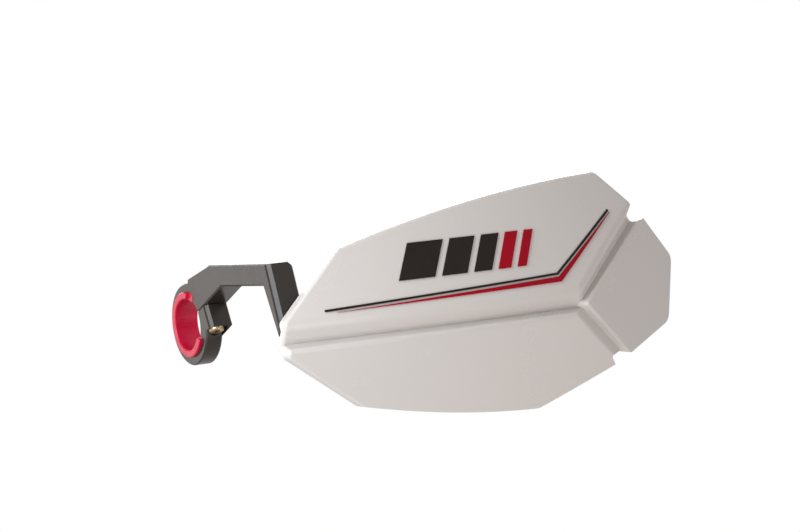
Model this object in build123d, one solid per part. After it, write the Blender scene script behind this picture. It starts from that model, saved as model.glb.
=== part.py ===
from build123d import *
import os
from math import asin, atan2, cos, degrees, radians, sin, sqrt, tan

# Hand guard for one end of a motorcycle's handlebar: a moulded bracket clamps the bar through a split
# bush and hooks forward over the lever to carry a faceted shield in front of the rider's hand.
# Millimetres. X runs outboard along the bar, -Y forward, +Z up; the origin is the middle of the clamp's
# bore. A distance forward is written f, so y = -f. Angles are in degrees.

# Bar and bush
bar_d = 22.2
bush_wall = 3.1
bush_fit = 0.1
bush_proud = 1.5
bush_out = 1.6
bush_gap_from = -27.0
bush_gap_to = 60.0
bush_rim_end = 80.0
bush_edge = 0.4
bush_tip_r = 1.2

# Bracket: clamp ring, arm and leg, drawn in the side view
arm_w = 11.5
ring_w = 7.8
ring_wall = 3.5
land_gap = 0.8
land_play = 0.5
root_f = 3.0
root_z = 20.0
knee_f = 24.9
arm_top = 25.5
arm_h = 9.0
crook_f = 36.2
leg_front_f = 82.2
leg_lean = 17.5
leg_back_f = 76.8
leg_back_lean = 25.2
leg_chamfer = 1.8
arm_chamfer = 2.0
bracket_edge = 0.6

# Clamp: slit, lug and screw
slit_f = 15.0
slit_z = 7.5
slit_w = 0.3
lug_reach = 3.6
lug_w = 10.1
lug_h = 10.4
lug_chamfer = 1.6
gusset_h = 1.8
clamp_out = 0.6
clamp_d = 4.0
clamp_head_d = 6.8
clamp_head_h = 1.1
clamp_head_bevel = 0.5
clamp_hex = 2.5
clamp_hex_depth = 0.7
insert_d = 5.6
insert_set = 2.0
insert_len = 8.0
screw_end_gap = 1.0
hole_play = 0.2
thread_fit = 0.05

# Bracket foot, and the screws that hold the shield to it
foot_t = 4.0
foot_end_x = 54.0
foot_top_z = 13.0
foot_neck_z = 2.0
foot_cut_x = 16.0
foot_corner_r = 5.0
inner_screw_x = 21.0
outer_screw_x = 45.0
screw_z = 6.0
screw_d = 5.0
screw_bite = 5.0
head_d = 9.0
head_h = 3.2
head_bevel = 1.2
head_hex = 3.0
head_hex_depth = 1.8
washer_d = 10.5
washer_t = 1.0
boss_d = 11.0
seat_gap = 0.3

# Shield: wall and bowed facets
shell_t = 3.0
lip_depth = 5.0
rim_r = 1.4
bow_x = 62.0
bow_r = 520.0
fold_z = -0.3
fold_r = 6.0
groove_lean = 34.0
ridge_z = -9.7
ridge_proud = 1.6
ridge_r = 1.6
wall_rise = 18.0
lower_lean = 24.0

# Shield: end facet, and the slopes that fall to its grooves
end_x = 138.1
end_z = -6.2
end_drop = 1.4
end_turn = 26.0
end_tilt = -3.0
end_wall = 78.0
end_up_heading = 34.2
end_down_heading = -36.3
side_slope = 46.0
upper_side_x = 153.7
upper_side_z = 15.1
upper_side_heading = 39.0
lower_side_x = 143.5
lower_side_z = -20.4
lower_side_heading = -40.0

# Shield: outline in the front view
tip_x = -6.6
tip_rise = -1.6
tip_drop = 3.3
tip_r = 3.0
brow_in_x = 23.0
brow_in_z = 28.5
brow_in_r = 5.0
brow_rise = 4.0
brow_out_x = 160.3
brow_out_z = 49.3
brow_out_r = 5.0
end_top_x = 205.5
end_top_z = 8.0
end_low_x = 200.5
end_low_z = -20.8
end_r = 6.0
chin_out_x = 118.0
chin_out_z = -49.4
chin_sag = 2.1
chin_in_x = 28.5
chin_in_z = -37.0
chin_r = 7.0

# Shield: notches in the outline where the end facet's two grooves run out
upper_notch_x = 173.3
upper_notch_z = 28.7
upper_notch_w = 6.6
upper_notch_slope = -28.0
lower_notch_x = 155.1
lower_notch_z = -30.9
lower_notch_w = 7.9
lower_notch_slope = 8.7
notch_in_heading = 53.0
notch_out_heading = 12.0
notch_r = 0.8

# Decal film: a pinstripe and a tapered stripe along the lower fold, and a row of slanted bars
film_t = 0.45
pin_in_x = 11.4
pin_in_z = 4.4
pin_bend_x = 125.0
pin_bend_z = 8.0
pin_out_x = 162.0
pin_out_z = 32.3
pin_w = 0.9
dart_gap = 0.8
dart_w = 2.2
dart_start = 5.0
bars_x = 47.0
bars_lift = 5.0
bars_h = 15.0
bars_slant = 28.0
bars_gap = 3.5
bars_first_w = 17.0
bars_taper = 0.72
black_bars = 3
red_bars = 2

# Worked-out values
bar_r = bar_d / 2
ring_bore_r = bar_r + bush_wall + bush_fit
ring_r = ring_bore_r + ring_wall
land_r = bar_r + land_gap
half_w = arm_w / 2
ring_side = ring_w - half_w
lug_side = lug_w - half_w
clamp_x = ring_side - ring_w / 2
arm_low = arm_top - arm_h
lean = radians(leg_lean)
side_view = Plane(origin=(0, 0, 0), x_dir=(0, -1, 0), z_dir=(-1, 0, 0))
front_view = Plane(origin=(0, 0, 0), x_dir=(1, 0, 0), z_dir=(0, -1, 0))

# The slit runs up and forward under the arm. The clamp screw crosses it at right angles.
slit_slope = atan2(arm_low - slit_z, crook_f - slit_f)
slit_depth = ring_r - bar_r
lug_low = -slit_w - lug_h
insert_end = insert_set + insert_len
slit_frame = Pos(slit_f, slit_z) * Rot(0, 0, degrees(slit_slope))
lug_plane = Plane(side_view.location * slit_frame)
clamp_plane = Plane(
    origin=lug_plane.from_local_coords((clamp_out, 0, -clamp_x)),
    x_dir=(1, 0, 0),
    z_dir=(0, sin(slit_slope), cos(slit_slope)),
)

# The leg's front face carries the foot, and the shield's screws stand square to it.
leg_plane = Plane(
    origin=(0, -leg_front_f, arm_top), x_dir=(1, 0, 0), z_dir=(0, -cos(lean), sin(lean))
)
screw_places = [
    leg_plane * Pos(x, (screw_z - arm_top) / cos(lean)) for x in (inner_screw_x, outer_screw_x)
]

# The upper facet is a cone round an upright axis behind the shield. Its lip clears the leg by seat_gap
# at the bracket's inboard face and the arm's height.
seat_f = leg_front_f + (lip_depth + seat_gap) / cos(lean)
axis_f = seat_f - sqrt(bow_r**2 - (bow_x + half_w) ** 2)
fold_rho = bow_r + (arm_top - fold_z) * tan(lean)
ridge_rho = fold_rho + ridge_proud
stock_h = brow_out_z - chin_out_z
stock_d = end_top_x - end_x
stock_w = stock_h + stock_d
sweep = 60.0
facing = 0.2
square = 0.002


def upper_rho(z):
    """Distance of the upper facet from the bow's axis at a height."""
    return bow_r + (arm_top - z) * tan(lean)


def lower_rho(z):
    """Distance of the lower facet from the bow's axis at a height."""
    return ridge_rho - (ridge_z - z) * tan(radians(lower_lean))


def on_bow(x, rho):
    """Distance forward of a point of the bow at a station along the bar."""
    return axis_f + sqrt(rho**2 - (x - bow_x) ** 2)


def outward_plane(x, f, z, turn, tilt):
    """Plane whose normal is turned outboard and tilted up by angles in radians."""
    return Plane(
        origin=(x, -f, z),
        x_dir=(cos(turn), sin(turn), 0),
        z_dir=(sin(turn) * cos(tilt), -cos(turn) * cos(tilt), sin(tilt)),
    )


def tangent_plane(x, z, rho, tilt):
    """Plane that touches a bowed facet at a station and height."""
    return outward_plane(x, on_bow(x, rho), z, asin((x - bow_x) / rho), tilt)


def flank(face, heading, fall):
    """Plane that falls away from a face along a line in it."""
    return Plane(face.location * Rot(0, 0, heading) * Rot(fall, 0, 0))


def bowed(points):
    """Solid swept round the bow's axis from a section of distances from the axis and heights."""
    start = radians(-90 - sweep / 2)
    section = Plane(
        origin=(bow_x, -axis_f, 0),
        x_dir=(cos(start), sin(start), 0),
        z_dir=(sin(start), -cos(start), 0),
    )
    profile = Polygon(*points, align=None)
    return revolve(section * profile, Axis((bow_x, -axis_f, 0), (0, 0, 1)), sweep)


def behind(solid, plane, depth):
    """The part of a solid behind a plane that is sunk by a depth."""
    return split(solid, bisect_by=plane.offset(-depth), keep=Keep.BOTTOM)


def upper_panel(depth, fall_depth):
    """Stock behind the upper facet sunk by a depth, and behind its two slopes sunk by another."""
    slope = radians(groove_lean)
    drop = (depth / cos(lean) - fall_depth / cos(slope)) / (tan(lean) + tan(slope))
    fold = (upper_rho(fold_z - drop) - depth / cos(lean), fold_z - drop)
    top = fold_z + stock_h
    back = bow_r - stock_d - depth
    low = fold[1] - (fold[0] - back) / tan(slope)
    crest = upper_rho(top) - depth / cos(lean)
    face = tangent_plane(upper_side_x, upper_side_z, upper_rho(upper_side_z), lean)
    block = bowed([fold, (crest, top), (back, top), (back, low)])
    return behind(block, flank(face, upper_side_heading, side_slope), fall_depth)


def lower_panel(depth, fall_depth):
    """Stock behind the lower facet sunk by a depth, and behind its top wall and side slope."""
    tilt = radians(lower_lean)
    rise = radians(wall_rise)
    drop = (fall_depth / cos(rise) - depth * tan(rise) / cos(tilt)) / (1 + tan(tilt) * tan(rise))
    ridge = (lower_rho(ridge_z - drop) - depth / cos(tilt), ridge_z - drop)
    low = ridge_z - stock_h
    back = bow_r - stock_d - depth
    top = ridge[1] + (ridge[0] - back) * tan(rise)
    foot = lower_rho(low) - depth / cos(tilt)
    face = tangent_plane(lower_side_x, lower_side_z, lower_rho(lower_side_z), -tilt)
    block = bowed([ridge, (back, top), (back, low), (foot, low)])
    return behind(block, flank(face, lower_side_heading, -side_slope), fall_depth)


def end_panel(depth, fall_depth):
    """Stock behind the end facet sunk by a depth, and behind the walls that rise to it."""
    corner_f = on_bow(end_x, ridge_rho) - end_drop
    face = outward_plane(end_x, corner_f, end_z, radians(end_turn), radians(end_tilt))
    block = extrude(face.offset(-depth) * Rectangle(2 * stock_w, 2 * stock_w), -stock_d)
    block = behind(block, flank(face, end_up_heading, -end_wall), fall_depth)
    return behind(block, flank(face, end_down_heading, end_wall), fall_depth)


def stock_behind(depth, fall_depth):
    """Everything behind the shield's front when its facets and their slopes are sunk."""
    panels = [panel(depth, fall_depth) for panel in (upper_panel, lower_panel, end_panel)]
    return panels[0] + panels[1] + panels[2]


def outline():
    """The shield's outline in the front view."""
    tip_top = (tip_x, fold_z - tip_rise)
    tip_low = (tip_x, ridge_z - tip_drop)
    brow_in = (brow_in_x, brow_in_z)
    brow_out = (brow_out_x, brow_out_z)
    end_top = (end_top_x, end_top_z)
    end_low = (end_low_x, end_low_z)
    chin_out = (chin_out_x, chin_out_z)
    chin_in = (chin_in_x, chin_in_z)
    edges = [
        Polyline(chin_in, tip_low, tip_top, brow_in),
        SagittaArc(brow_in, brow_out, brow_rise),
        Polyline(brow_out, end_top, end_low, chin_out),
        SagittaArc(chin_out, chin_in, chin_sag),
    ]
    shape = make_face(edges)
    rounds = [
        (tip_top, tip_r),
        (tip_low, tip_r),
        (brow_in, brow_in_r),
        (brow_out, brow_out_r),
        (end_top, end_r),
        (end_low, end_r),
        (chin_out, chin_r),
        (chin_in, chin_r),
    ]
    for corner, radius in rounds:
        shape = fillet(shape.vertices().sort_by_distance(corner)[0], radius)
    return shape


def notch(x, z, width, slope, side):
    """The notch at a groove's end on the outline's upper or lower side, drawn from its inner corner."""
    reach = stock_h / 2
    inner = Vector(x, z)
    outer = inner + Vector(width, 0).rotate(Axis.Z, slope)
    points = [
        inner,
        outer,
        outer + Vector(reach, 0).rotate(Axis.Z, side * notch_out_heading),
        inner + Vector(reach, 0).rotate(Axis.Z, side * notch_in_heading),
    ]
    shape = Polygon(*points, align=None)
    corners = [shape.vertices().sort_by_distance(corner)[0] for corner in (inner, outer)]
    return fillet(corners, notch_r)


def prism(shape):
    """A front-view shape drawn out through the shield's depth."""
    return extrude(front_view * shape, 2 * leg_front_f)


def front_faces(solid):
    """Faces of a solid that look forward."""
    return solid.faces().filter_by(lambda face: face.normal_at().Y < -facing)


def folds(solid):
    """Edges between two faces that both look forward."""
    fronts = front_faces(solid)
    return [edge for edge in solid.edges() if sum(edge in face.edges() for face in fronts) == 2]


def rim(solid):
    """Edges between a face that looks forward and one that stands square to the front view."""
    front_edges = front_faces(solid).edges()
    sides = solid.faces().filter_by(lambda face: abs(face.normal_at().Y) < square)
    side_edges = sides.edges()
    return [edge for edge in solid.edges() if edge in front_edges and edge in side_edges]


def cylinder_on(place, radius, start, end):
    """A round bar square to a place, between two heights over it."""
    return extrude(place * Pos(0, 0, start) * Circle(radius), end - start)


def screw(place, radius, length, head_radius, head_height, head_bevelling, key, key_depth):
    """A screw with its bevelled head's seat on a place, its shank going up and a hexagon socket below."""
    head = cylinder_on(place, head_radius, -head_height, 0)
    crown = head.edges().filter_by(GeomType.CIRCLE).sort_by_distance(
        (place * Pos(0, 0, -head_height)).position
    )[0]
    body = chamfer(crown, head_bevelling) + cylinder_on(place, radius, 0, length)
    socket = place * Pos(0, 0, -head_height) * RegularPolygon(key / 2, 6, major_radius=False)
    return body - extrude(socket, key_depth)


def make_shield():
    """The moulded shield: three raised facets, a turned-back lip and two screw bosses."""
    edge = outline()
    window = prism(edge)
    fronts = []
    for panel, radius in ((upper_panel, fold_r), (lower_panel, ridge_r), (end_panel, ridge_r)):
        block = fillet(folds(panel(0, 0)), radius) & window
        fronts.append(fillet(rim(block), rim_r))
    shield = fronts[0] + fronts[1] + fronts[2]
    shield -= stock_behind(shell_t, shell_t) & prism(offset(edge, amount=-shell_t))
    shield -= stock_behind(lip_depth, shell_t)
    for gap in (
        notch(upper_notch_x, upper_notch_z, upper_notch_w, upper_notch_slope, 1),
        notch(lower_notch_x, lower_notch_z, lower_notch_w, lower_notch_slope, -1),
    ):
        shield -= extrude(front_view * gap, 2 * leg_front_f, both=True)
    wall = stock_behind(shell_t / 2, shell_t / 2)
    for place in screw_places:
        shield += cylinder_on(place, boss_d / 2, 0, 2 * boss_d) & wall
        shield -= cylinder_on(place, screw_d / 2 + thread_fit, 0, screw_bite + screw_end_gap)
    return shield


def make_bracket():
    """The moulded bracket: split clamp ring with its lug, hooked arm, leg and foot."""
    low = fold_z - arm_h
    arm = Polygon(
        (slit_f - slit_depth * cos(slit_slope), slit_z - slit_depth * sin(slit_slope)),
        (crook_f, arm_low),
        (leg_back_f, arm_low),
        (leg_back_f + (arm_low - low) * tan(radians(leg_back_lean)), low),
        (leg_front_f + (arm_top - low) * tan(lean), low),
        (leg_front_f, arm_top),
        (knee_f, arm_top),
        (root_f, root_z),
        (0, bar_r),
        align=None,
    )
    body = extrude(side_view * (arm - clamp_bore()), half_w, both=True)
    body += make_ring() + make_lug()
    body = chamfer(near(inboard_edges(body), leg_plane, (-half_w, -arm_top, 0)), leg_chamfer)
    body = chamfer(near(inboard_edges(body), lug_plane, (lug_reach, lug_low / 2, half_w)), lug_chamfer)
    body = chamfer(near(outboard_edges(body), side_view, (crook_f, arm_top, -half_w)), arm_chamfer)
    body = chamfer(long_edges(body), bracket_edge)
    body += make_gusset()
    body += make_foot()
    body -= lip_room()
    body -= cylinder_on(clamp_plane, insert_d / 2 + thread_fit, 0, insert_end + screw_end_gap)
    body -= cylinder_on(clamp_plane, clamp_d / 2 + hole_play, lug_low, 0)
    body -= cylinder_on(clamp_plane, clamp_head_d / 2 + hole_play, lug_low - ring_r, lug_low)
    for place in screw_places:
        body -= cylinder_on(place, screw_d / 2 + hole_play, -foot_t, 0)
    return body


def bush_gap(start, end):
    """The wedge between two angles that the bush leaves open, in the side view."""
    reach = 2 * ring_r
    return Polygon(
        (0, 0),
        (reach * cos(radians(start)), reach * sin(radians(start))),
        (reach, reach),
        (reach * cos(radians(end)), reach * sin(radians(end))),
        align=None,
    )


def clamp_bore():
    """The bracket's bore, with a land between the bush's ends that keeps the bush from turning."""
    play = degrees(land_play / bar_r)
    land = bush_gap(bush_gap_from + play, bush_gap_to - play)
    return Circle(ring_bore_r) - land + Circle(land_r)


def make_ring():
    """The clamp ring, split under the arm, narrower than it and level with its inboard face."""
    slit = Polygon(
        (-slit_depth, 0), (arm_w, 0), (arm_w, -slit_w), (-slit_depth, -slit_w), align=None
    )
    band = Circle(ring_r) - slit_frame * slit - clamp_bore()
    ring = extrude(side_view.offset(-ring_side) * band, ring_w)
    return chamfer(outboard_edges(ring).sort_by(SortBy.LENGTH)[-1], bracket_edge)


def make_lug():
    """The block below the slit that the clamp screw pulls up, level with the inboard face."""
    block = Polygon(
        (-slit_depth, -slit_w), (-slit_depth, lug_low), (lug_reach, lug_low), (lug_reach, -slit_w),
        align=None,
    )
    shape = slit_frame * block - clamp_bore()
    return extrude(side_view.offset(-lug_side) * shape, lug_w)


def make_gusset():
    """The web that braces the lug's outboard side against the ring."""
    front = Plane(
        origin=lug_plane.from_local_coords((lug_reach, 0, 0)), x_dir=(1, 0, 0), z_dir=lug_plane.x_dir
    )
    shape = Polygon((ring_side, lug_low), (ring_side, lug_low - gusset_h), (lug_side, lug_low), align=None)
    return extrude(front * shape, -lug_reach - slit_depth)


def inboard_edges(body):
    """Edges in the bracket's inboard face."""
    return body.edges().group_by(Axis.X)[0]


def outboard_edges(body):
    """Edges in the bracket's outboard face."""
    return body.edges().group_by(Axis.X)[-1]


def near(edges, plane, point):
    """The edge closest to a point given in a plane's own coordinates."""
    return edges.sort_by_distance(plane.from_local_coords(point))[0]


def long_edges(body):
    """Outer edges of both flat sides of the bracket, without the bore and the slit."""
    chosen = []
    for edge in inboard_edges(body) + outboard_edges(body):
        middle = edge.center()
        across = lug_plane.to_local_coords(middle)
        in_slit = across.X < lug_reach and -slit_w - bracket_edge < across.Y < bracket_edge
        in_bore = Vector(0, middle.Y, middle.Z).length < ring_r - bracket_edge
        if not in_slit and not in_bore:
            chosen.append(edge)
    return chosen


def make_foot():
    """The plate that reaches outboard from the leg behind the shield."""
    top = (foot_top_z - arm_top) / cos(lean)
    neck = (foot_neck_z - arm_top) / cos(lean)
    low = (fold_z - arm_h - arm_top) / cos(lean)
    shape = Polygon(
        (0, low), (foot_end_x, low), (foot_end_x, top), (foot_cut_x, top), (0, neck), align=None
    )
    shape = fillet(shape.vertices().sort_by_distance((foot_end_x, top))[0], foot_corner_r)
    return extrude(leg_plane * shape, -foot_t)


def lip_room():
    """Room for the shield's lip below the fold, where it falls back to the groove."""
    slope = tan(radians(groove_lean))
    lip_rho = fold_rho - (lip_depth + seat_gap) / cos(radians(groove_lean))
    top = fold_z + lip_depth
    low = fold_z - stock_h / 2
    points = [
        (lip_rho + lip_depth * slope, top),
        (fold_rho + stock_d, top),
        (fold_rho + stock_d, low),
        (lip_rho - (fold_z - low) * slope, low),
    ]
    return bowed(points)


def make_bush():
    """The split bush that lines the clamp, open at the front, with a shorter rim standing proud."""
    tube = Circle(bar_r + bush_wall) - Circle(bar_r)
    wall = fillet((tube - bush_gap(bush_gap_from, bush_gap_to)).vertices(), bush_tip_r)
    rim = fillet((tube - bush_gap(bush_gap_from, bush_rim_end)).vertices(), bush_tip_r)
    sleeve = extrude(side_view.offset(-ring_side - bush_out) * wall, ring_w + bush_out)
    sleeve += extrude(side_view.offset(half_w) * rim, bush_proud)
    return chamfer(sleeve.edges().group_by(Axis.X)[0], bush_edge)


def make_insert():
    """The threaded brass insert in the arm that the clamp screw pulls on."""
    body = cylinder_on(clamp_plane, insert_d / 2, insert_set, insert_end)
    return body - cylinder_on(clamp_plane, clamp_d / 2 + thread_fit, insert_set, insert_end)


def make_clamp_screw():
    """The clamp screw, with its head under the lug and its end in the insert."""
    seat = clamp_plane * Pos(0, 0, lug_low)
    length = insert_end - screw_end_gap - lug_low
    head = (clamp_head_d / 2, clamp_head_h, clamp_head_bevel, clamp_hex, clamp_hex_depth)
    return screw(seat, clamp_d / 2, length, *head)


def make_shield_screw(place):
    """A screw through the foot into a boss of the shield, with its head behind."""
    seat = place * Pos(0, 0, -foot_t - washer_t)
    length = foot_t + washer_t + screw_bite
    return screw(seat, screw_d / 2, length, head_d / 2, head_h, head_bevel, head_hex, head_hex_depth)


def make_washer(place):
    """The plain washer under a shield screw's head."""
    ring = cylinder_on(place, washer_d / 2, -foot_t - washer_t, -foot_t)
    return ring - cylinder_on(place, screw_d / 2 + hole_play, -foot_t - washer_t, -foot_t)


def film(shape):
    """A front-view shape laid on the upper facet as a thin film."""
    return prism(shape) & (upper_panel(-film_t, 0) - upper_panel(0, 0))


def slanted_bars():
    """The row of slanted bars, each narrower than the one before."""
    low = pin_bend_z + bars_lift
    shift = bars_h * tan(radians(bars_slant))
    x = bars_x
    width = bars_first_w
    bars = []
    for _ in range(black_bars + red_bars):
        bars.append(
            Polygon(
                (x, low), (x + width, low), (x + width + shift, low + bars_h), (x + shift, low + bars_h),
                align=None,
            )
        )
        x += width + bars_gap
        width *= bars_taper
    return bars


def stripes():
    """The pinstripe, and the stripe below it that swells to the bend and tapers to both ends."""
    start = Vector(pin_in_x, pin_in_z)
    bend = Vector(pin_bend_x, pin_bend_z)
    end = Vector(pin_out_x, pin_out_z)
    along = (bend - start).normalized()
    below = along.rotate(Axis.Z, -90)
    beside = (end - bend).normalized().rotate(Axis.Z, -90)
    mitre = (below + beside) * (1 / (1 + below.dot(beside)))
    clear = pin_w / 2 + dart_gap
    pin = trace(Polyline(start, bend, end), pin_w)
    dart = Polygon(
        start + along * dart_start + below * clear,
        bend + mitre * (clear + dart_w),
        end + beside * clear,
        bend + mitre * clear,
        align=None,
    )
    return pin, dart


pin_shape, dart_shape = stripes()
bar_shapes = slanted_bars()
inner_place, outer_place = screw_places
nodes = {
    "shield": make_shield(),
    "bracket": make_bracket(),
    "bar_bush": make_bush(),
    "clamp_screw": make_clamp_screw(),
    "clamp_insert": make_insert(),
    "shield_screw_inner": make_shield_screw(inner_place),
    "shield_screw_outer": make_shield_screw(outer_place),
    "shield_washer_inner": make_washer(inner_place),
    "shield_washer_outer": make_washer(outer_place),
    "decal_black": Part(children=[film(shape) for shape in [pin_shape] + bar_shapes[:black_bars]]),
    "decal_red": Part(children=[film(shape) for shape in [dart_shape] + bar_shapes[black_bars:]]),
}
os.makedirs("parts", exist_ok=True)
for name, solid in nodes.items():
    export_step(solid, f"parts/{name}.step")
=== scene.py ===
"""Motorcycle hand guard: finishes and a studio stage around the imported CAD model."""

from collections import namedtuple
from math import cos, radians, sin

import bmesh
import bpy
from bpy.props import FloatProperty, FloatVectorProperty, PointerProperty
from mathutils import Matrix, Vector


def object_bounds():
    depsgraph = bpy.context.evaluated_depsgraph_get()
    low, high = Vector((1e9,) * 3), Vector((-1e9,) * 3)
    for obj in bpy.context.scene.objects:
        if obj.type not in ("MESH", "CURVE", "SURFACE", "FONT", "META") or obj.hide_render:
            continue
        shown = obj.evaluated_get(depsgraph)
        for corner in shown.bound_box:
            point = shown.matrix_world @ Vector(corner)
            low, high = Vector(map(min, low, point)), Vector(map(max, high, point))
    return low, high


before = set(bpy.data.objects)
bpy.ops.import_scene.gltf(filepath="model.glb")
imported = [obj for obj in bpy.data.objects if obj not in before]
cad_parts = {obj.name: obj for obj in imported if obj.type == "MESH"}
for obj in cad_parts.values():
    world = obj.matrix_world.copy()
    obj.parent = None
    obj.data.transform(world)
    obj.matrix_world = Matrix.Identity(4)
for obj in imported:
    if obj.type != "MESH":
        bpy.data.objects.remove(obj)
cad_low, cad_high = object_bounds()

bl_info = {
    "name": "Motorcycle Hand Guard",
    "version": (1, 0, 0),
    "blender": (4, 5, 0),
    "location": "View3D > Sidebar > Hand Guard",
    "description": "Finishes the parts of a motorcycle hand guard and sets up its studio stage",
    "category": "Object",
}

PHOTO_WIDTH_PX = 800
SENSOR_WIDTH = 36.0
WHITE = (1.0, 1.0, 1.0)
SHIELD_FASTENERS = (
    "shield_screw_inner", "shield_screw_outer", "shield_washer_inner", "shield_washer_outer")

# Detail of each noise, and the noise values that are spread over the range from 0 to 1
CLOUD_DETAIL = 3.0
CLOUD_LIMITS = (0.2, 0.8)
GRAIN_DETAIL = 2.0
BLOTCH_DETAIL = 2.0
BLOTCH_LIMITS = (0.35, 0.65)
SCRATCH_DETAIL = 3.0

# Shares of the broad and the fine noise in a tone, and the tone that leaves the gloss as it is
BROAD_SHARE = 0.6
FINE_SHARE = 0.4
MIDDLE_TONE = 0.5

FLOOR_SEGMENTS = 96
FLOOR_ROUGHNESS = 0.9

# Each lamp's colour setting, its width and height, and its place, in metres
LampPlan = namedtuple("LampPlan", "name colour size place")
LAMPS = (
    LampPlan("key", "key_colour", (0.28, 0.20), (-0.39, -0.22, 0.21)),
    LampPlan("side", "key_colour", (0.35, 0.80), (-0.78, -0.34, -0.10)),
    LampPlan("fill", "fill_colour", (0.40, 0.40), (0.08, -0.60, -0.26)),
    LampPlan("edge", "edge_colour", (0.70, 0.70), (-0.68, 0.90, -0.05)),
    LampPlan("high", "high_colour", (0.25, 0.25), (-0.05, -0.07, 0.60)),
    LampPlan("back", "high_colour", (0.70, 0.70), (0.35, 0.75, 0.45)),
)


# Settings that a user would change

class ShieldFinish(bpy.types.PropertyGroup):
    """Finish of the white shield moulding"""

    colour: FloatVectorProperty(
        name="Colour", description="Main colour of the shield's plastic",
        subtype="COLOR", min=0.0, max=1.0, default=(0.735, 0.714, 0.698))
    shade: FloatVectorProperty(
        name="Shade", description="Slightly darker tone that clouds the plastic",
        subtype="COLOR", min=0.0, max=1.0, default=(0.722, 0.701, 0.685))
    cloud_size: FloatProperty(
        name="Cloud Size", description="Distance over which the tone drifts",
        unit="LENGTH", default=0.030)
    grain_size: FloatProperty(
        name="Grain Size", description="Spacing of the moulded grain",
        unit="LENGTH", default=0.0006)
    grain_depth: FloatProperty(
        name="Grain Depth", description="Depth of the moulded grain",
        unit="LENGTH", default=0.00002)
    roughness: FloatProperty(
        name="Roughness", description="Middle roughness of the satin skin",
        subtype="FACTOR", min=0.0, max=1.0, default=0.27)
    unevenness: FloatProperty(
        name="Unevenness", description="Spread of the roughness over the skin",
        subtype="FACTOR", min=0.0, max=1.0, default=0.02)
    ior: FloatProperty(
        name="IOR", description="Index of refraction of the plastic",
        min=1.0, default=1.46)


class BracketFinish(bpy.types.PropertyGroup):
    """Finish of the charcoal bracket moulding"""

    colour: FloatVectorProperty(
        name="Colour", description="Main colour of the bracket's plastic",
        subtype="COLOR", min=0.0, max=1.0, default=(0.026, 0.021, 0.019))
    shade: FloatVectorProperty(
        name="Shade", description="Paler tone that clouds the plastic",
        subtype="COLOR", min=0.0, max=1.0, default=(0.033, 0.027, 0.024))
    cloud_size: FloatProperty(
        name="Cloud Size", description="Distance over which the tone drifts",
        unit="LENGTH", default=0.008)
    grain_size: FloatProperty(
        name="Grain Size", description="Spacing of the moulded grain",
        unit="LENGTH", default=0.0007)
    grain_depth: FloatProperty(
        name="Grain Depth", description="Depth of the moulded grain",
        unit="LENGTH", default=0.00004)
    roughness: FloatProperty(
        name="Roughness", description="Middle roughness of the grained skin",
        subtype="FACTOR", min=0.0, max=1.0, default=0.26)
    unevenness: FloatProperty(
        name="Unevenness", description="Spread of the roughness over the skin",
        subtype="FACTOR", min=0.0, max=1.0, default=0.12)
    ior: FloatProperty(
        name="IOR", description="Index of refraction of the plastic",
        min=1.0, default=1.34)


class BushFinish(bpy.types.PropertyGroup):
    """Finish of the red bush that lines the clamp"""

    colour: FloatVectorProperty(
        name="Colour", description="Main colour of the bush's plastic",
        subtype="COLOR", min=0.0, max=1.0, default=(0.60, 0.004, 0.048))
    shade: FloatVectorProperty(
        name="Shade", description="Deeper red that clouds the plastic",
        subtype="COLOR", min=0.0, max=1.0, default=(0.52, 0.003, 0.038))
    cloud_size: FloatProperty(
        name="Cloud Size", description="Distance over which the tone drifts",
        unit="LENGTH", default=0.006)
    grain_size: FloatProperty(
        name="Grain Size", description="Spacing of the moulded grain",
        unit="LENGTH", default=0.0009)
    grain_depth: FloatProperty(
        name="Grain Depth", description="Depth of the moulded grain",
        unit="LENGTH", default=0.00001)
    roughness: FloatProperty(
        name="Roughness", description="Middle roughness of the semi-gloss skin",
        subtype="FACTOR", min=0.0, max=1.0, default=0.32)
    unevenness: FloatProperty(
        name="Unevenness", description="Spread of the roughness over the skin",
        subtype="FACTOR", min=0.0, max=1.0, default=0.08)
    ior: FloatProperty(
        name="IOR", description="Index of refraction of the plastic",
        min=1.0, default=1.41)


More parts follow.
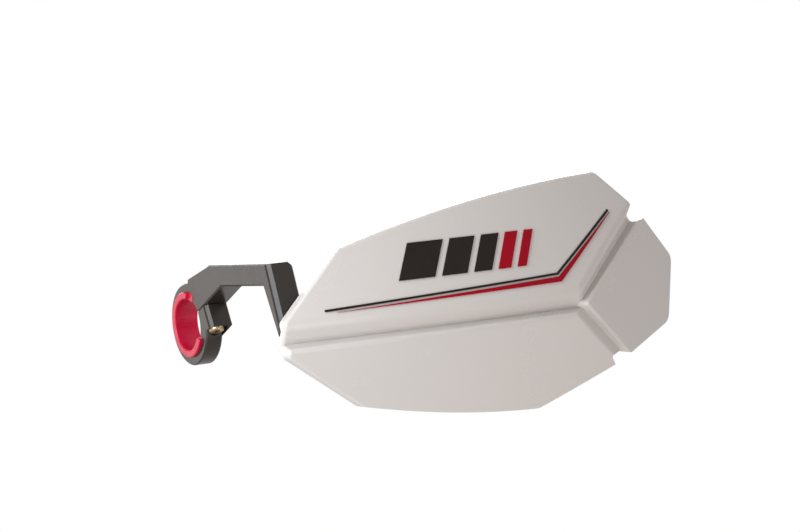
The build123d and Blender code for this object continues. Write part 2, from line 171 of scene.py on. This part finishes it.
class FastenerFinish(bpy.types.PropertyGroup):
    """Finish of the plated screws, the washers and the brass insert"""

    yellow: FloatVectorProperty(
        name="Yellow Zinc", description="Colour of the clamp screw's plating",
        subtype="COLOR", min=0.0, max=1.0, default=(0.44, 0.35, 0.19))
    yellow_tint: FloatVectorProperty(
        name="Yellow Tint", description="Darker tone that drifts over the yellow plating",
        subtype="COLOR", min=0.0, max=1.0, default=(0.31, 0.23, 0.12))
    brass: FloatVectorProperty(
        name="Brass", description="Colour of the threaded insert",
        subtype="COLOR", min=0.0, max=1.0, default=(0.70, 0.52, 0.22))
    brass_tint: FloatVectorProperty(
        name="Brass Tint", description="Duller tone of the threaded insert",
        subtype="COLOR", min=0.0, max=1.0, default=(0.55, 0.39, 0.16))
    zinc: FloatVectorProperty(
        name="Zinc", description="Colour of the shield's screws and washers",
        subtype="COLOR", min=0.0, max=1.0, default=(0.62, 0.63, 0.64))
    zinc_tint: FloatVectorProperty(
        name="Zinc Tint", description="Duller tone of the shield's screws and washers",
        subtype="COLOR", min=0.0, max=1.0, default=(0.50, 0.51, 0.53))
    blotch_size: FloatProperty(
        name="Blotch Size", description="Distance over which the metal's tone drifts",
        unit="LENGTH", default=0.0022)
    scratch_size: FloatProperty(
        name="Scratch Size", description="Spacing of the tool marks",
        unit="LENGTH", default=0.00025)
    scratch_depth: FloatProperty(
        name="Scratch Depth", description="Depth of the tool marks",
        unit="LENGTH", default=0.0000075)
    roughness: FloatProperty(
        name="Roughness", description="Middle roughness of the metal",
        subtype="FACTOR", min=0.0, max=1.0, default=0.30)
    unevenness: FloatProperty(
        name="Unevenness", description="Spread of the roughness over the metal",
        subtype="FACTOR", min=0.0, max=1.0, default=0.2)


class FilmFinish(bpy.types.PropertyGroup):
    """Finish of the printed film on the shield"""

    black: FloatVectorProperty(
        name="Black", description="Colour of the black film",
        subtype="COLOR", min=0.0, max=1.0, default=(0.020, 0.015, 0.014))
    black_shade: FloatVectorProperty(
        name="Black Shade", description="Paler tone of the black film",
        subtype="COLOR", min=0.0, max=1.0, default=(0.028, 0.021, 0.019))
    red: FloatVectorProperty(
        name="Red", description="Colour of the red film",
        subtype="COLOR", min=0.0, max=1.0, default=(0.41, 0.006, 0.020))
    red_shade: FloatVectorProperty(
        name="Red Shade", description="Deeper tone of the red film",
        subtype="COLOR", min=0.0, max=1.0, default=(0.36, 0.004, 0.016))
    cloud_size: FloatProperty(
        name="Cloud Size", description="Distance over which the print's tone drifts",
        unit="LENGTH", default=0.015)
    ripple_size: FloatProperty(
        name="Ripple Size", description="Spacing of the film's faint ripples",
        unit="LENGTH", default=0.004)
    ripple_depth: FloatProperty(
        name="Ripple Depth", description="Depth of the film's faint ripples",
        unit="LENGTH", default=0.00001)
    roughness: FloatProperty(
        name="Roughness", description="Middle roughness of the film",
        subtype="FACTOR", min=0.0, max=1.0, default=0.28)
    unevenness: FloatProperty(
        name="Unevenness", description="Spread of the roughness over the film",
        subtype="FACTOR", min=0.0, max=1.0, default=0.06)
    ior: FloatProperty(
        name="IOR", description="Index of refraction of the film",
        min=1.0, default=1.16)


class StageSettings(bpy.types.PropertyGroup):
    """Camera, lamps, floor and background"""

    azimuth: FloatProperty(
        name="Azimuth", description="Camera's turn about the upright axis",
        subtype="ANGLE", default=radians(-28.713))
    elevation: FloatProperty(
        name="Elevation", description="Camera's height angle above the part",
        subtype="ANGLE", default=radians(2.299))
    roll: FloatProperty(
        name="Roll", description="Camera's turn about its own view",
        subtype="ANGLE", default=radians(-5.377))
    distance: FloatProperty(
        name="Distance", description="How far in front of the clamp's middle the camera stands",
        unit="LENGTH", default=1.2)
    aim_right: FloatProperty(
        name="Aim Right", description="How far right of the clamp's middle the camera aims",
        unit="LENGTH", default=0.086434)
    aim_up: FloatProperty(
        name="Aim Up", description="How far above the clamp's middle the camera aims",
        unit="LENGTH", default=0.024809)
    focal_px: FloatProperty(
        name="Focal Length", description="Focal length in pixels of a frame 800 pixels wide",
        subtype="PIXEL", default=2765.382)
    floor_drop: FloatProperty(
        name="Floor Drop", description="Height of the clamp's axis above the floor",
        unit="LENGTH", default=0.55)
    floor_radius: FloatProperty(
        name="Floor Radius", description="Radius of the round floor",
        unit="LENGTH", default=1.8)
    floor_lift: FloatProperty(
        name="Floor Lift", description="White added to the floor where it is seen",
        subtype="FACTOR", min=0.0, max=1.0, default=0.32)
    floor_colour: FloatVectorProperty(
        name="Floor Colour", description="Colour of the pale floor",
        subtype="COLOR", min=0.0, max=1.0, default=(0.78, 0.78, 0.775))
    ambient: FloatVectorProperty(
        name="Ambient", description="Colour and strength of the room's even light",
        subtype="COLOR", min=0.0, max=1.0, default=(0.245, 0.216, 0.202))
    key_power: FloatProperty(
        name="Key Power", description="Power of the high lamp at the left",
        unit="POWER", default=1.65)
    key_colour: FloatVectorProperty(
        name="Key Colour", description="Colour of the two lamps at the left",
        subtype="COLOR", min=0.0, max=1.0, default=(0.95, 0.98, 1.0))
    side_power: FloatProperty(
        name="Side Power", description="Power of the tall lamp at the left",
        unit="POWER", default=2.8)
    fill_power: FloatProperty(
        name="Fill Power", description="Power of the low lamp in front",
        unit="POWER", default=1.24)
    fill_colour: FloatVectorProperty(
        name="Fill Colour", description="Colour of the low lamp in front",
        subtype="COLOR", min=0.0, max=1.0, default=(1.0, 0.95, 0.92))
    edge_power: FloatProperty(
        name="Edge Power", description="Power of the lamp behind the part at the left",
        unit="POWER", default=1.65)
    edge_colour: FloatVectorProperty(
        name="Edge Colour", description="Colour of the lamp behind the part at the left",
        subtype="COLOR", min=0.0, max=1.0, default=(1.0, 0.90, 0.84))
    high_power: FloatProperty(
        name="High Power", description="Power of the lamp above the part",
        unit="POWER", default=1.1)
    high_colour: FloatVectorProperty(
        name="High Colour", description="Colour of the lamp above and of the high lamp behind",
        subtype="COLOR", min=0.0, max=1.0, default=WHITE)
    back_power: FloatProperty(
        name="Back Power", description="Power of the high lamp behind the part",
        unit="POWER", default=4.4)


class HandGuardSettings(bpy.types.PropertyGroup):
    """All settings of the hand guard"""

    shield: PointerProperty(
        name="Shield", description="Finish of the shield", type=ShieldFinish)
    bracket: PointerProperty(
        name="Bracket", description="Finish of the bracket", type=BracketFinish)
    bush: PointerProperty(
        name="Bush", description="Finish of the bush", type=BushFinish)
    fasteners: PointerProperty(
        name="Fasteners", description="Finish of the fasteners", type=FastenerFinish)
    film: PointerProperty(
        name="Film", description="Finish of the printed film", type=FilmFinish)
    stage: PointerProperty(
        name="Stage", description="Camera, lamps, floor and background", type=StageSettings)


# Shared effects

def new_group(name, colours, sizes):
    """A shader node group of two colours and two sizes, and the sockets of its settings."""
    group = bpy.data.node_groups.new(name, "ShaderNodeTree")
    for socket_name in colours:
        group.interface.new_socket(socket_name, in_out="INPUT", socket_type="NodeSocketColor")
    for socket_name in (*sizes, "Roughness", "Unevenness"):
        group.interface.new_socket(socket_name, in_out="INPUT", socket_type="NodeSocketFloat")
    group.interface.new_socket("Colour", in_out="OUTPUT", socket_type="NodeSocketColor")
    for socket_name in ("Roughness", "Height"):
        group.interface.new_socket(socket_name, in_out="OUTPUT", socket_type="NodeSocketFloat")
    return group, group.nodes.new("NodeGroupInput").outputs


def arithmetic(tree, operation, first, second):
    """One step of arithmetic on two sockets, or on a socket and a number."""
    node = tree.nodes.new("ShaderNodeMath")
    node.operation = operation
    for place, value in enumerate((first, second)):
        if isinstance(value, (int, float)):
            node.inputs[place].default_value = value
        else:
            tree.links.new(value, node.inputs[place])
    return node.outputs[0]


def noise(tree, coordinates, size, detail):
    """A noise on the given coordinates whose spots have the size that a socket gives."""
    node = tree.nodes.new("ShaderNodeTexNoise")
    node.inputs["Detail"].default_value = detail
    tree.links.new(coordinates, node.inputs["Vector"])
    tree.links.new(arithmetic(tree, "DIVIDE", 1.0, size), node.inputs["Scale"])
    return node.outputs["Fac"]


def spread(tree, value, limits):
    """The middle of a noise spread over the range from 0 to 1."""
    node = tree.nodes.new("ShaderNodeMapRange")
    node.interpolation_type = "SMOOTHSTEP"
    node.inputs["From Min"].default_value, node.inputs["From Max"].default_value = limits
    tree.links.new(value, node.inputs["Value"])
    return node.outputs["Result"]


def mix_colours(tree, amount, first, second):
    """Two colours mixed by a mask."""
    node = tree.nodes.new("ShaderNodeMix")
    node.data_type = "RGBA"
    tree.links.new(amount, node.inputs["Factor"])
    tree.links.new(first, node.inputs["A"])
    tree.links.new(second, node.inputs["B"])
    return node.outputs["Result"]


def mix_tone(tree, broad, fine):
    """A broad and a fine noise mixed into one tone."""
    return arithmetic(
        tree, "ADD",
        arithmetic(tree, "MULTIPLY", broad, BROAD_SHARE),
        arithmetic(tree, "MULTIPLY", fine, FINE_SHARE))


def lead_out(group, settings, colour, tone, height):
    """Lead the colour, a roughness that follows the tone, and the height out of a group."""
    stray = arithmetic(group, "SUBTRACT", tone, MIDDLE_TONE)
    uneven = arithmetic(group, "MULTIPLY", stray, settings["Unevenness"])
    roughness = arithmetic(group, "ADD", settings["Roughness"], uneven)
    leave = group.nodes.new("NodeGroupOutput")
    group.links.new(colour, leave.inputs["Colour"])
    group.links.new(roughness, leave.inputs["Roughness"])
    group.links.new(height, leave.inputs["Height"])


def moulded_skin_group():
    """Clouded tone, fine grain and uneven gloss of a plastic moulding."""
    group, settings = new_group(
        "moulded_skin", ("Colour", "Shade"), ("Cloud Size", "Grain Size"))
    place = group.nodes.new("ShaderNodeTexCoord").outputs["Object"]
    cloud = noise(group, place, settings["Cloud Size"], CLOUD_DETAIL)
    grain = noise(group, place, settings["Grain Size"], GRAIN_DETAIL)
    tone = mix_tone(group, spread(group, cloud, CLOUD_LIMITS), grain)
    colour = mix_colours(group, tone, settings["Colour"], settings["Shade"])
    lead_out(group, settings, colour, tone, grain)
    return group


def plated_metal_group():
    """Drifting tone, fine tool marks and uneven gloss of a metal fastener."""
    group, settings = new_group(
        "plated_metal", ("Colour", "Tint"), ("Blotch Size", "Scratch Size"))
    place = group.nodes.new("ShaderNodeTexCoord").outputs["Object"]
    blotch = noise(group, place, settings["Blotch Size"], BLOTCH_DETAIL)
    blotch = spread(group, blotch, BLOTCH_LIMITS)
    scratch = noise(group, place, settings["Scratch Size"], SCRATCH_DETAIL)
    colour = mix_colours(group, blotch, settings["Colour"], settings["Tint"])
    lead_out(group, settings, colour, mix_tone(group, blotch, scratch), scratch)
    return group


def shared_group(name, make):
    """The node group of that name, made on first use."""
    return bpy.data.node_groups.get(name) or make()


def grouped_material(name, group, colours, values, bump_depth):
    """A material whose colour, roughness and bump come from a shared group."""
    material = bpy.data.materials.new(name)
    material.use_nodes = True
    tree = material.node_tree
    shader = tree.nodes["Principled BSDF"]
    effect = tree.nodes.new("ShaderNodeGroup")
    effect.node_tree = group
    for socket_name, colour in colours.items():
        effect.inputs[socket_name].default_value = (*colour, 1.0)
    for socket_name, value in values.items():
        effect.inputs[socket_name].default_value = value
    bump = tree.nodes.new("ShaderNodeBump")
    bump.inputs["Strength"].default_value = 1.0
    bump.inputs["Distance"].default_value = bump_depth
    tree.links.new(effect.outputs["Height"], bump.inputs["Height"])
    tree.links.new(bump.outputs["Normal"], shader.inputs["Normal"])
    tree.links.new(effect.outputs["Colour"], shader.inputs["Base Color"])
    tree.links.new(effect.outputs["Roughness"], shader.inputs["Roughness"])
    return material, shader


def plastic_material(name, finish, colour, shade, grain_size, grain_depth):
    """A plastic's material in the given colours and grain."""
    material, shader = grouped_material(
        name, shared_group("moulded_skin", moulded_skin_group),
        {"Colour": colour, "Shade": shade},
        {"Cloud Size": finish.cloud_size, "Grain Size": grain_size,
         "Roughness": finish.roughness, "Unevenness": finish.unevenness},
        grain_depth)
    shader.inputs["IOR"].default_value = finish.ior
    return material


def moulded_material(name, finish):
    """A plastic moulding's material from its finish settings."""
    return plastic_material(
        name, finish, finish.colour, finish.shade, finish.grain_size, finish.grain_depth)


def film_material(name, finish, colour, shade):
    """A printed film's material from the film settings, with ripples in place of grain."""
    return plastic_material(
        name, finish, colour, shade, finish.ripple_size, finish.ripple_depth)


def metal_material(name, finish, colour, tint):
    """A metal fastener's material from the fastener settings."""
    material, shader = grouped_material(
        name, shared_group("plated_metal", plated_metal_group),
        {"Colour": colour, "Tint": tint},
        {"Blotch Size": finish.blotch_size, "Scratch Size": finish.scratch_size,
         "Roughness": finish.roughness, "Unevenness": finish.unevenness},
        finish.scratch_depth)
    shader.inputs["Metallic"].default_value = 1.0
    return material


def dress(node_name, material):
    """Give a CAD node its material."""
    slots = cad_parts[node_name].material_slots
    if not slots:
        raise RuntimeError(f"{node_name} has no material slot")
    for slot in slots:
        slot.material = material


# Finishes of the pieces

class HANDGUARD_OT_shield(bpy.types.Operator):
    """Finish the shield as satin white plastic"""

    bl_idname = "hand_guard.shield"
    bl_label = "Finish Shield"

    def execute(self, context):
        dress("shield", moulded_material("shield_plastic", context.scene.hand_guard.shield))
        return {"FINISHED"}


class HANDGUARD_OT_bracket(bpy.types.Operator):
    """Finish the bracket as grained charcoal plastic"""

    bl_idname = "hand_guard.bracket"
    bl_label = "Finish Bracket"

    def execute(self, context):
        dress("bracket", moulded_material("bracket_plastic", context.scene.hand_guard.bracket))
        return {"FINISHED"}


class HANDGUARD_OT_bush(bpy.types.Operator):
    """Finish the bush as semi-gloss red plastic"""

    bl_idname = "hand_guard.bush"
    bl_label = "Finish Bush"

    def execute(self, context):
        dress("bar_bush", moulded_material("bush_plastic", context.scene.hand_guard.bush))
        return {"FINISHED"}


class HANDGUARD_OT_fasteners(bpy.types.Operator):
    """Finish the screws, washers and insert as worked metal"""

    bl_idname = "hand_guard.fasteners"
    bl_label = "Finish Fasteners"

    def execute(self, context):
        finish = context.scene.hand_guard.fasteners
        yellow = metal_material("yellow_zinc", finish, finish.yellow, finish.yellow_tint)
        brass = metal_material("insert_brass", finish, finish.brass, finish.brass_tint)
        zinc = metal_material("zinc_steel", finish, finish.zinc, finish.zinc_tint)
        dress("clamp_screw", yellow)
        dress("clamp_insert", brass)
        for node_name in SHIELD_FASTENERS:
            dress(node_name, zinc)
        return {"FINISHED"}


class HANDGUARD_OT_film(bpy.types.Operator):
    """Finish the printed stripes and bars as film"""

    bl_idname = "hand_guard.film"
    bl_label = "Finish Film"

    def execute(self, context):
        finish = context.scene.hand_guard.film
        dress("decal_black", film_material("black_film", finish, finish.black, finish.black_shade))
        dress("decal_red", film_material("red_film", finish, finish.red, finish.red_shade))
        return {"FINISHED"}


# Stage

def add_lamp(plan, power, colour, target):
    """A soft lamp of the planned size and place that faces the target."""
    light = bpy.data.lights.new(plan.name, "AREA")
    light.shape = "RECTANGLE"
    light.energy = power
    light.color = colour
    light.size, light.size_y = plan.size
    holder = bpy.data.objects.new(plan.name, light)
    holder.location = plan.place
    holder.visible_camera = False
    facing = (target - Vector(plan.place)).to_track_quat("-Z", "Y")
    holder.rotation_euler = facing.to_euler()
    bpy.context.scene.collection.objects.link(holder)


def set_camera(stage):
    """The camera at the photograph's viewing angle."""
    back = Vector((sin(stage.azimuth) * cos(stage.elevation),
                   -cos(stage.azimuth) * cos(stage.elevation),
                   sin(stage.elevation)))
    level = Vector((cos(stage.azimuth), sin(stage.azimuth), 0.0))
    upright = back.cross(level)
    right = level * cos(stage.roll) + upright * sin(stage.roll)
    up = upright * cos(stage.roll) - level * sin(stage.roll)
    view = bpy.data.cameras.new("camera")
    view.sensor_fit = "HORIZONTAL"
    view.sensor_width = SENSOR_WIDTH
    view.lens = stage.focal_px * SENSOR_WIDTH / PHOTO_WIDTH_PX
    holder = bpy.data.objects.new("camera", view)
    turn = Matrix((right, up, back)).transposed().to_4x4()
    holder.matrix_world = Matrix.Translation(
        right * stage.aim_right + up * stage.aim_up + back * stage.distance) @ turn
    bpy.context.scene.collection.objects.link(holder)
    bpy.context.scene.camera = holder


def seen_rays(tree):
    """One where a ray shows the surroundings: to the camera, in gloss or through glass."""
    rays = tree.nodes.new("ShaderNodeLightPath").outputs
    seen = arithmetic(tree, "MAXIMUM", rays["Is Camera Ray"], rays["Is Glossy Ray"])
    return arithmetic(tree, "MAXIMUM", seen, rays["Is Transmission Ray"])


def set_world(stage):
    """A white background that gives an even grey light."""
    world = bpy.data.worlds.new("studio")
    world.use_nodes = True
    bpy.context.scene.world = world
    tree = world.node_tree
    light = tree.nodes.new("ShaderNodeMix")
    light.data_type = "RGBA"
    light.inputs["A"].default_value = (*stage.ambient, 1.0)
    light.inputs["B"].default_value = (*WHITE, 1.0)
    tree.links.new(seen_rays(tree), light.inputs["Factor"])
    tree.links.new(light.outputs["Result"], tree.nodes["Background"].inputs["Color"])


def set_floor(stage):
    """A plain pale round floor."""
    mesh = bpy.data.meshes.new("floor")
    disc = bmesh.new()
    bmesh.ops.create_circle(
        disc, cap_ends=True, segments=FLOOR_SEGMENTS, radius=stage.floor_radius)
    bmesh.ops.translate(disc, verts=disc.verts, vec=(0.0, 0.0, -stage.floor_drop))
    disc.to_mesh(mesh)
    disc.free()
    floor = bpy.data.objects.new("floor", mesh)
    bpy.context.scene.collection.objects.link(floor)
    material = bpy.data.materials.new("floor")
    material.use_nodes = True
    tree = material.node_tree
    shader = tree.nodes["Principled BSDF"]
    shader.inputs["Base Color"].default_value = (*stage.floor_colour, 1.0)
    shader.inputs["Roughness"].default_value = FLOOR_ROUGHNESS
    shader.inputs["Emission Color"].default_value = (*WHITE, 1.0)
    lift = arithmetic(tree, "MULTIPLY", seen_rays(tree), stage.floor_lift)
    tree.links.new(lift, shader.inputs["Emission Strength"])
    mesh.materials.append(material)


class HANDGUARD_OT_stage(bpy.types.Operator):
    """Set up the camera, the soft lamps, the floor and the white background"""

    bl_idname = "hand_guard.stage"
    bl_label = "Set Stage"

    def execute(self, context):
        stage = context.scene.hand_guard.stage
        centre = (Vector(cad_low) + Vector(cad_high)) / 2
        set_camera(stage)
        set_world(stage)
        set_floor(stage)
        for plan in LAMPS:
            power = getattr(stage, f"{plan.name}_power")
            add_lamp(plan, power, getattr(stage, plan.colour), centre)
        context.scene.view_settings.view_transform = "Standard"
        return {"FINISHED"}


# Panel and registration

class HANDGUARD_PT_panel(bpy.types.Panel):
    """Hand guard settings and steps"""

    bl_idname = "HANDGUARD_PT_panel"
    bl_label = "Hand Guard"
    bl_space_type = "VIEW_3D"
    bl_region_type = "UI"
    bl_category = "Hand Guard"

    def draw(self, context):
        settings = context.scene.hand_guard
        for name, operator in STEPS:
            box = self.layout.box()
            box.operator(operator.bl_idname)
            group = getattr(settings, name)
            for key in type(group).__annotations__:
                box.prop(group, key)


STEPS = (
    ("shield", HANDGUARD_OT_shield),
    ("bracket", HANDGUARD_OT_bracket),
    ("bush", HANDGUARD_OT_bush),
    ("fasteners", HANDGUARD_OT_fasteners),
    ("film", HANDGUARD_OT_film),
    ("stage", HANDGUARD_OT_stage),
)
CLASSES = (
    ShieldFinish, BracketFinish, BushFinish, FastenerFinish, FilmFinish, StageSettings,
    HandGuardSettings, *(operator for _, operator in STEPS), HANDGUARD_PT_panel,
)


def register():
    """Register the classes and hang the settings on the scene."""
    for item in CLASSES:
        bpy.utils.register_class(item)
    bpy.types.Scene.hand_guard = PointerProperty(
        name="Hand Guard", description="All settings of the hand guard", type=HandGuardSettings)


def unregister():
    """Take the settings and classes away again."""
    del bpy.types.Scene.hand_guard
    for item in reversed(CLASSES):
        bpy.utils.unregister_class(item)


def main():
    """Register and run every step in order."""
    register()
    bpy.ops.hand_guard.shield()
    bpy.ops.hand_guard.bracket()
    bpy.ops.hand_guard.bush()
    bpy.ops.hand_guard.fasteners()
    bpy.ops.hand_guard.film()
    bpy.ops.hand_guard.stage()


if __name__ == "__main__":
    main()
